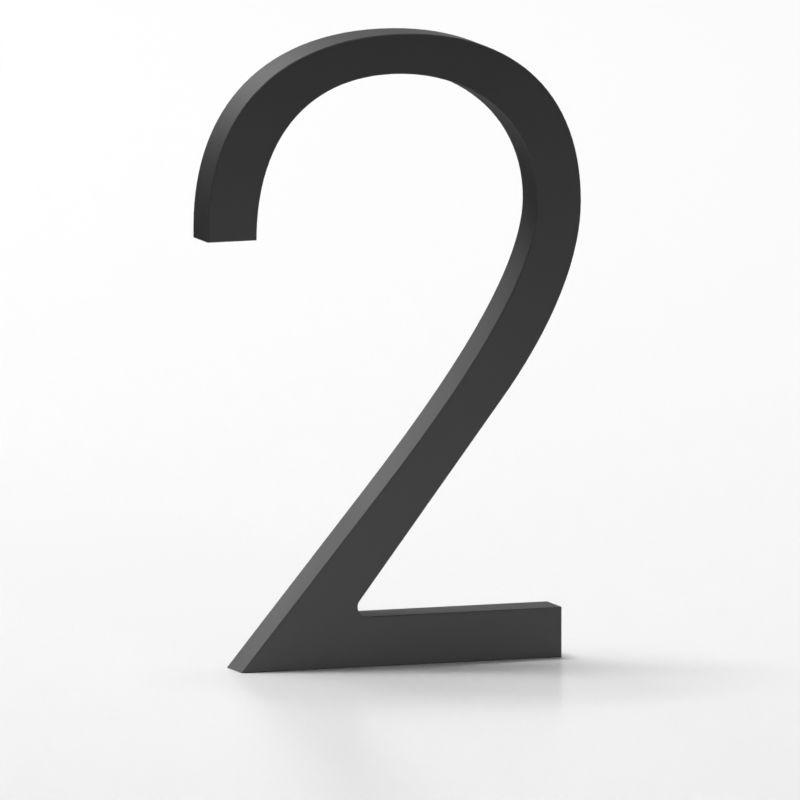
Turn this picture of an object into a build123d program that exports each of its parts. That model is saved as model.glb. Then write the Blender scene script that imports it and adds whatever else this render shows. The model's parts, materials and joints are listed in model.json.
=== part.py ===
from build123d import *
import math
import os

# House number: the figure 2, cut in one piece from aluminium plate and powder coated.
# X runs to the right across the figure, Y from its front face back to the wall, and Z up.
# The origin is on the standing line, under the middle of the bowl, at half the plate's thickness.
# Sizes are in millimetres and angles in degrees.

# Plate
figure_height = 145.0
plate_thickness = 10.0
edge_break = 0.2  # small chamfer all round both faces

# Bowl: the round head of the figure
bowl_width = 90.3
bowl_rise = 40.4  # from the bowl's widest point up to the top of the crown
crown_thickness = 9.2
side_thickness = 10.6
inner_crown_shift = 0.6  # the inner curve peaks this far to the left of the outer one

# Hook: the free end of the bowl, cut off level
hook_drop = 45.8  # from the top of the crown down to the cut end
hook_width = 11.8
hook_straight = 2.5  # upright stretch of the outer edge above the cut end

# Diagonal: its straight edges, drawn on, reach the two sides of the bowl at the knee
knee_drop = 19.8  # from the bowl's widest point down to the knee

# Foot
toe_inset = 8.1  # from the hook's outer edge across to the toe
foot_length = 77.5
foot_height = 11.5
crotch_offset = 25.8  # from the toe across to where the diagonal leaves the foot's top
crotch_radius = 2.3

# Blind holes in the back for threaded wall studs
stud_diameter = 4.0
stud_pitch = 0.7
stud_mouth_margin = 0.2  # how far the countersunk mouth stands outside the thread
thread_depth = 5.5  # from the back face to the end of the thread
drill_point_angle = 118.0
front_wall = 2.0  # metal left between the drill point and the front face

# Curves: the share of the way to its corner that each end of a curve is pulled
bowl_pull = 0.63
inner_side_pull = 0.58
outer_bend_low_pull = 0.53
outer_bend_high_pull = 0.76
inner_bend_low_pull = 0.48
inner_bend_high_pull = 0.88

# Curves: the share of each edge of the diagonal, down from the knee, that the bend takes up
outer_bend_share = 0.334
inner_bend_share = 0.545

# Levels that the driving dimensions give
waist = figure_height - bowl_rise
knee = waist - knee_drop
front_face = -plate_thickness / 2
back_face = plate_thickness / 2


def pulled_curve(start, corner, end, start_pull, end_pull):
    """Smooth curve that leaves start towards the corner and comes into end from it."""
    start_handle = start + (corner - start) * start_pull
    end_handle = end + (corner - end) * end_pull
    return Bezier(start, start_handle, end_handle, end)


class StraightEdge:
    """Straight edge of the diagonal from a low to a high point, moved to its right by a shift."""

    def __init__(self, low, high, shift):
        self.way = (high - low).normalized()
        self.start = low + self.way.rotate(Axis.Z, -90) * shift

    def at_level(self, level):
        return self.start + self.way * ((level - self.start.Y) / self.way.Y)

    def at_side(self, side):
        return self.start + self.way * ((side - self.start.X) / self.way.X)


def outline(inset):
    """Face of the figure seen from the front, with every edge moved into the metal by the inset."""
    left = -bowl_width / 2
    right = bowl_width / 2
    toe = left + toe_inset
    toe_point = Vector(toe, 0)
    crotch_point = Vector(toe + crotch_offset, foot_height)
    inner_edge = StraightEdge(toe_point, Vector(right - side_thickness, knee), inset)
    outer_edge = StraightEdge(crotch_point, Vector(right, knee), -inset)

    outer_left = left + inset
    outer_right = right - inset
    outer_top = figure_height - inset
    inner_left = left + hook_width - inset
    inner_right = right - side_thickness + inset
    inner_top = figure_height - crown_thickness + inset
    hook_end = figure_height - hook_drop + inset
    base = inset
    foot_top = foot_height - inset
    heel = toe + foot_length - inset

    toe_corner = inner_edge.at_level(base)
    inner_knee = inner_edge.at_side(inner_right)
    inner_bend = inner_knee + (toe_corner - inner_knee) * inner_bend_share
    inner_waist = Vector(inner_right, waist)
    inner_crown = Vector(-inner_crown_shift, inner_top)
    hook_inner_corner = Vector(inner_left, hook_end)
    hook_outer_corner = Vector(outer_left, hook_end)
    hook_shoulder = hook_outer_corner + Vector(0, hook_straight)
    outer_crown = Vector(0, outer_top)
    outer_waist = Vector(outer_right, waist)
    outer_knee = outer_edge.at_side(outer_right)
    crotch_corner = outer_edge.at_level(foot_top)
    outer_bend = outer_knee + (crotch_corner - outer_knee) * outer_bend_share
    heel_top = Vector(heel, foot_top)
    heel_base = Vector(heel, base)
    crotch = FilletPolyline(outer_bend, crotch_corner, heel_top, radius=crotch_radius + inset)

    edges = [
        Line(toe_corner, inner_bend),
        pulled_curve(inner_bend, inner_knee, inner_waist, inner_bend_low_pull, inner_bend_high_pull),
        pulled_curve(inner_waist, Vector(inner_right, inner_top), inner_crown, inner_side_pull, inner_side_pull),
        pulled_curve(inner_crown, Vector(inner_left, inner_top), hook_inner_corner, bowl_pull, bowl_pull),
        Line(hook_inner_corner, hook_outer_corner),
        Line(hook_outer_corner, hook_shoulder),
        pulled_curve(hook_shoulder, Vector(outer_left, outer_top), outer_crown, bowl_pull, bowl_pull),
        pulled_curve(outer_crown, Vector(outer_right, outer_top), outer_waist, bowl_pull, bowl_pull),
        pulled_curve(outer_waist, outer_knee, outer_bend, outer_bend_high_pull, outer_bend_low_pull),
        *crotch.edges(),
        Line(heel_top, heel_base),
        Line(heel_base, toe_corner),
    ]
    return Face(Wire(edges))


def stud_hole():
    """Tapped blind hole as a solid of revolution, bored to the thread's outer size as far as the thread goes."""
    thread_radius = stud_diameter / 2
    core_radius = (stud_diameter - stud_pitch) / 2
    mouth_radius = thread_radius + stud_mouth_margin
    thread_end = back_face - thread_depth
    point_depth = core_radius / math.tan(math.radians(drill_point_angle / 2))
    point_end = front_face + front_wall
    profile = Polyline(
        (0, back_face),
        (mouth_radius, back_face),
        (thread_radius, back_face - stud_mouth_margin),
        (thread_radius, thread_end),
        (core_radius, thread_end - (thread_radius - core_radius)),
        (core_radius, point_end + point_depth),
        (0, point_end),
        close=True,
    )
    return revolve(make_face(profile), Axis.Y)


def section(depth, inset):
    """Outline of the figure standing upright, at a depth behind half the plate's thickness."""
    return Plane.XZ.offset(-depth) * outline(inset)


def numeral():
    """The whole figure: a plate with broken edges and stud holes in its crown and its foot."""
    sections = [
        section(front_face, edge_break),
        section(front_face + edge_break, 0),
        section(back_face - edge_break, 0),
        section(back_face, edge_break),
    ]
    plate = loft(sections, ruled=True, clean=False)
    crown_hole = Pos(0, 0, figure_height - crown_thickness / 2) * stud_hole()
    foot_hole = Pos(0, 0, foot_height / 2) * stud_hole()
    return plate.cut(crown_hole, foot_hole)


os.makedirs("parts", exist_ok=True)
export_step(numeral(), "parts/numeral.step")
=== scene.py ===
import json
import math

import bmesh
import bpy
from mathutils import Matrix, Vector


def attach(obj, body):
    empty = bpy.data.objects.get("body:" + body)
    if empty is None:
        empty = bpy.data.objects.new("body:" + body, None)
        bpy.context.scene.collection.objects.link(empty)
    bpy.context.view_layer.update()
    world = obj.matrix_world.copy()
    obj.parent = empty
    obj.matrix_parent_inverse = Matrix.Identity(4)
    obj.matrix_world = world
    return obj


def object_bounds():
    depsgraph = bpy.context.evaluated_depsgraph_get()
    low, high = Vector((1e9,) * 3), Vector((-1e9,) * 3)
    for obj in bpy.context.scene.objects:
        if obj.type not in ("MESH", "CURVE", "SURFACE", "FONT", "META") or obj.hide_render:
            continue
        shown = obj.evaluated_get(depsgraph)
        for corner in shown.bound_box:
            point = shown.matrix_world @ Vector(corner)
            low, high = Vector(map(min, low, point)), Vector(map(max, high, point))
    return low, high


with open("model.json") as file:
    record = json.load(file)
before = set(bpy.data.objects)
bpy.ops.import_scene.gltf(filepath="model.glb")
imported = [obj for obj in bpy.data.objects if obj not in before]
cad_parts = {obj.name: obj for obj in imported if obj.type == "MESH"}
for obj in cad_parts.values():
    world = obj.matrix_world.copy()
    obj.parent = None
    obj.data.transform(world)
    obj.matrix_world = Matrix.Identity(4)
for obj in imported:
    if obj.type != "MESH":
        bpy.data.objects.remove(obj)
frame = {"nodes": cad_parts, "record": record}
cad_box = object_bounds()


# The figure: one piece of thick aluminium plate, cut to the outline of a 2, with its edges just broken.
# It is powder coated in matt anthracite, which bakes to a fine grain over a faint orange peel.
# Its two stud holes are plugged while it is coated, so their walls are bare cut metal.

numeral = frame["nodes"]["numeral"]
stud_mount = next(mount for mount in frame["record"]["mounts"] if mount["name"] == "stud_holes")
stud_hole_radius = stud_mount["dims"]["hole_r_mm"] / 1000
stud_hole_spread = stud_mount["dims"]["spacing_y_mm"] / 1000
stud_hole_middle = Vector(stud_mount["pos_m"])
crown_hole = stud_hole_middle + Vector((0, 0, stud_hole_spread / 2))
foot_hole = stud_hole_middle - Vector((0, 0, stud_hole_spread / 2))
plug_margin = 0.00005  # the plugs stand this far outside the walls of the holes
coated_front = 0.0015  # from the front face back to where the holes count as bare

anthracite_dark = (0.035, 0.035, 0.0352, 1)
anthracite_pale = (0.0415, 0.0415, 0.0417, 1)
bare_aluminium = (0.72, 0.72, 0.73, 1)
coat_drift_size = 0.030
coat_peel_size = 0.0018
coat_grain_size = 0.00028
coat_peel_height = 0.000006
coat_grain_height = 0.000012
coat_smoothest = 0.50
coat_roughest = 0.56
noise_low = 0.3  # a noise seldom falls below this
noise_high = 0.7  # and seldom rises above this


def add_node(tree, kind, inputs, **settings):
    """New node with its settings and inputs, where an input is a value or another node's output."""
    node = tree.nodes.new(kind)
    for name, value in settings.items():
        setattr(node, name, value)
    for socket, value in inputs.items():
        if isinstance(value, bpy.types.NodeSocket):
            tree.links.new(value, node.inputs[socket])
        else:
            node.inputs[socket].default_value = value
    return node


def maths(tree, operation, *values):
    """Result of one calculation on values or on other nodes' outputs."""
    return add_node(tree, "ShaderNodeMath", dict(enumerate(values)), operation=operation).outputs[0]


def vector_maths(tree, operation, *values):
    """Results of one calculation on vectors: a vector and a plain value."""
    return add_node(tree, "ShaderNodeVectorMath", dict(enumerate(values)), operation=operation).outputs


def noise(tree, place, size, detail):
    """Noise with spots of about the given size."""
    inputs = {"Vector": place, "Scale": 1 / size, "Detail": detail}
    return add_node(tree, "ShaderNodeTexNoise", inputs).outputs["Fac"]


def follow_noise(tree, spots, low, high):
    """Value that goes from low to high with a noise."""
    inputs = {"Value": spots, "From Min": noise_low, "From Max": noise_high, "To Min": low, "To Max": high}
    return add_node(tree, "ShaderNodeMapRange", inputs).outputs["Result"]


def mix_colours(tree, share, first, second):
    """Colour between two others, where a share of 1 is the second."""
    return add_node(tree, "ShaderNodeMix", {0: share, 6: first, 7: second}, data_type="RGBA").outputs[2]


def bumps(tree, spots, height, **base):
    """Normal of a surface with bumps of the given height, where a base is the surface that they lie on."""
    inputs = {"Height": spots, "Strength": 1, "Distance": height, **base}
    return add_node(tree, "ShaderNodeBump", inputs).outputs["Normal"]


def new_material(name):
    """Empty material and its node tree."""
    material = bpy.data.materials.new(name)
    material.use_nodes = True
    material.node_tree.nodes.clear()
    return material, material.node_tree


def add_surface(tree, inputs):
    """Shader with the given inputs, as the surface of a material."""
    surface = add_node(tree, "ShaderNodeBsdfPrincipled", inputs)
    add_node(tree, "ShaderNodeOutputMaterial", {"Surface": surface.outputs["BSDF"]})


def inside_hole(tree, place, hole):
    """1 inside the wall of a stud hole and 0 on the rest of the figure."""
    offset = vector_maths(tree, "SUBTRACT", place, hole)["Vector"]
    across = vector_maths(tree, "MULTIPLY", offset, (1, 0, 1))["Vector"]
    reach = vector_maths(tree, "LENGTH", across)["Value"]
    return maths(tree, "LESS_THAN", reach, stud_hole_radius + plug_margin)


powder_coat, tree = new_material("anthracite_powder_coat")
place = add_node(tree, "ShaderNodeTexCoord", {}).outputs["Object"]
drift = noise(tree, place, coat_drift_size, detail=2)
peel = noise(tree, place, coat_peel_size, detail=1)
grain = noise(tree, place, coat_grain_size, detail=2)
mottle = maths(tree, "MULTIPLY", maths(tree, "ADD", drift, grain), 1 / 2)
coat_colour = mix_colours(tree, mottle, anthracite_dark, anthracite_pale)

depth = add_node(tree, "ShaderNodeSeparateXYZ", {0: place}).outputs["Y"]
behind_front = maths(tree, "GREATER_THAN", depth, cad_box[0].y + coated_front)
in_holes = maths(tree, "MAXIMUM", inside_hole(tree, place, crown_hole), inside_hole(tree, place, foot_hole))
bare = maths(tree, "MULTIPLY", in_holes, behind_front)

peel_normal = bumps(tree, peel, coat_peel_height)
add_surface(
    tree,
    {
        "Base Color": mix_colours(tree, bare, coat_colour, bare_aluminium),
        "Metallic": bare,
        "Roughness": follow_noise(tree, drift, coat_smoothest, coat_roughest),
        "Normal": bumps(tree, grain, coat_grain_height, Normal=peel_normal),
    },
)
numeral.data.materials.clear()
numeral.data.materials.append(powder_coat)


# The threads: the ridges that a tap leaves in the two stud holes, in the bare metal of the figure itself.
# Each winds 0.7 mm a turn, as an M4 stud's does, and stops short of the countersunk mouth.

thread_pitch = 0.0007
thread_turns = 6.5
thread_steps = 208
thread_inset = 0.0006  # from the back face in to the middle of the first turn
thread_sink = 0.00003  # how far the ridge's root lies in the wall of the hole
thread_root_radius = stud_hole_radius + thread_sink
thread_crest_radius = 0.00165
thread_root_width = 0.00062
thread_crest_width = 0.00018
merge_distance = 0.000001

tool_mark_size = 1 / 9000
tool_mark_height = 0.000004
metal_smoothest = 0.28
metal_roughest = 0.42

cut_metal, tree = new_material("cut_aluminium")
place = add_node(tree, "ShaderNodeTexCoord", {}).outputs["Object"]
tool_marks = noise(tree, place, tool_mark_size, detail=2)
add_surface(
    tree,
    {
        "Base Color": bare_aluminium,
        "Metallic": 1,
        "Roughness": follow_noise(tree, tool_marks, metal_smoothest, metal_roughest),
        "Normal": bumps(tree, tool_marks, tool_mark_height),
    },
)


def new_piece(name, bm, material):
    """Piece of one material from a finished bmesh."""
    mesh = bpy.data.meshes.new(name)
    bm.to_mesh(mesh)
    bm.free()
    mesh.materials.append(material)
    piece = bpy.data.objects.new(name, mesh)
    bpy.context.collection.objects.link(piece)
    return piece


def tapped_thread(name, hole):
    """Ridge wound round the wall of a stud hole, from just inside its mouth."""
    profile = [
        (thread_root_radius, thread_root_width / 2),
        (thread_crest_radius, thread_crest_width / 2),
        (thread_crest_radius, -thread_crest_width / 2),
        (thread_root_radius, -thread_root_width / 2),
    ]
    first_turn = cad_box[1].y - thread_inset
    bm = bmesh.new()
    corners = [bm.verts.new((hole.x + reach, first_turn + along, hole.z)) for reach, along in profile]
    ridge_end = bm.faces.new(corners)
    bmesh.ops.spin(
        bm,
        geom=[ridge_end],
        cent=hole,
        axis=(0, 1, 0),
        dvec=(0, -thread_pitch * thread_turns / thread_steps, 0),
        angle=2 * math.pi * thread_turns,
        steps=thread_steps,
    )
    bmesh.ops.remove_doubles(bm, verts=bm.verts[:], dist=merge_distance)
    bmesh.ops.recalc_face_normals(bm, faces=bm.faces[:])
    thread = new_piece(name, bm, cut_metal)
    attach(thread, "root")


tapped_thread("crown_thread", crown_hole)
tapped_thread("foot_thread", foot_hole)


# The floor: a smooth white table top that the figure stands on, with a faint sheen.
# It takes the soft shadow round the foot and a faint image of it.
# The coat mirrors only its middle: the wide surround stays out of the reflections, as if the room were dim.

floor_radius = 12.0
floor_middle_radius = 0.17
floor_sides = 96
floor_drop = 0.00003  # the floor lies just clear of the foot's underside
floor_white = (0.95, 0.95, 0.95, 1)
floor_roughness = 0.22
floor_sheen = 0.01

white_top, tree = new_material("white_table_top")
smooth_white = {"Base Color": floor_white, "Roughness": floor_roughness, "Specular IOR Level": floor_sheen}
add_surface(tree, smooth_white)
rim = {"segments": floor_sides, "matrix": Matrix.Translation((0, 0, -floor_drop))}

bm = bmesh.new()
bmesh.ops.create_circle(bm, cap_ends=True, radius=floor_middle_radius, **rim)
floor_middle = new_piece("floor_middle", bm, white_top)

bm = bmesh.new()
bmesh.ops.create_circle(bm, radius=floor_middle_radius, **rim)
bmesh.ops.create_circle(bm, radius=floor_radius, **rim)
bmesh.ops.bridge_loops(bm, edges=bm.edges[:])
floor_surround = new_piece("floor_surround", bm, white_top)
floor_surround.visible_glossy = False


# The light: soft boxes overhead and behind, which make the top edges shine and the shadow fall forwards.
# A low white screen behind is what the floor's sheen mirrors, and a weak narrow lamp in front lifts the face.
# The room is dim, but for a thin white line at its horizon, which is the background of a level view.

room_glow = 0.03
horizon_glow = 1
horizon_height = 0.003
figure_middle = (0, 0, 0.07)

room = bpy.data.worlds.new("studio_room")
bpy.context.scene.world = room
room.use_nodes = True
tree = room.node_tree
tree.nodes.clear()
direction = add_node(tree, "ShaderNodeTexCoord", {}).outputs["Generated"]
rise = add_node(tree, "ShaderNodeSeparateXYZ", {0: direction}).outputs["Z"]
level = maths(tree, "LESS_THAN", maths(tree, "ABSOLUTE", rise), horizon_height)
rays = add_node(tree, "ShaderNodeLightPath", {}).outputs
seen = maths(tree, "MAXIMUM", rays["Is Camera Ray"], rays["Is Glossy Ray"])
seen = maths(tree, "MAXIMUM", seen, rays["Is Transmission Ray"])
horizon = maths(tree, "MULTIPLY", level, seen)
glow = add_node(tree, "ShaderNodeMapRange", {"Value": horizon, "To Min": room_glow, "To Max": horizon_glow})
white = {"Color": (1, 1, 1, 1), "Strength": glow.outputs["Result"]}
background = add_node(tree, "ShaderNodeBackground", white)
add_node(tree, "ShaderNodeOutputWorld", {"Surface": background.outputs["Background"]})


def soft_lamp(name, place, width, height, power, aim=figure_middle, spread=180):
    """Flat soft lamp at a place, turned towards what it is aimed at."""
    light = bpy.data.lights.new(name, "AREA")
    light.shape = "RECTANGLE"
    light.size = width
    light.size_y = height
    light.energy = power
    light.spread = math.radians(spread)
    lamp = bpy.data.objects.new(name, light)
    lamp.location = place
    lamp.rotation_euler = (Vector(aim) - Vector(place)).to_track_quat("-Z", "Y").to_euler()
    bpy.context.collection.objects.link(lamp)
    return lamp


soft_lamp("top_box", place=(-0.28, 0.72, 3.17), width=1.4, height=1.9, power=92.0)
soft_lamp("back_box", place=(-0.70, 2.72, 1.56), width=2.1, height=1.5, power=28.5)
soft_lamp("back_screen", place=(1.36, 3.74, 0.42), width=2.4, height=1.2, power=9.0)
front_lamp = soft_lamp(
    "front_lamp",
    place=(0.05, -2.0, 0.06),
    width=0.35,
    height=0.1,
    power=0.205,
    aim=(-0.02, 0, 0.003),
    spread=12.3,
)
front_lamp.visible_glossy = False


# The camera: it looks at the figure from a little to the left and a little above.
# Its view is parallel, and takes in the whole figure and the floor in front of its foot.

view_turn = math.radians(-20)
view_rise = math.radians(8)
view_width = 0.18194
view_middle = Vector((0.00129, -0.005, 0.0609))
view_distance = 1.5

camera = bpy.data.cameras.new("camera")
camera.type = "ORTHO"
camera.ortho_scale = view_width
camera_object = bpy.data.objects.new("camera", camera)
level_reach = math.cos(view_rise)
towards_camera = Vector(
    (
        math.sin(view_turn) * level_reach,
        -math.cos(view_turn) * level_reach,
        math.sin(view_rise),
    )
)
camera_object.location = view_middle + towards_camera * view_distance
camera_object.rotation_euler = (-towards_camera).to_track_quat("-Z", "Y").to_euler()
bpy.context.collection.objects.link(camera_object)
bpy.context.scene.camera = camera_object
bpy.context.scene.view_settings.view_transform = "Standard"
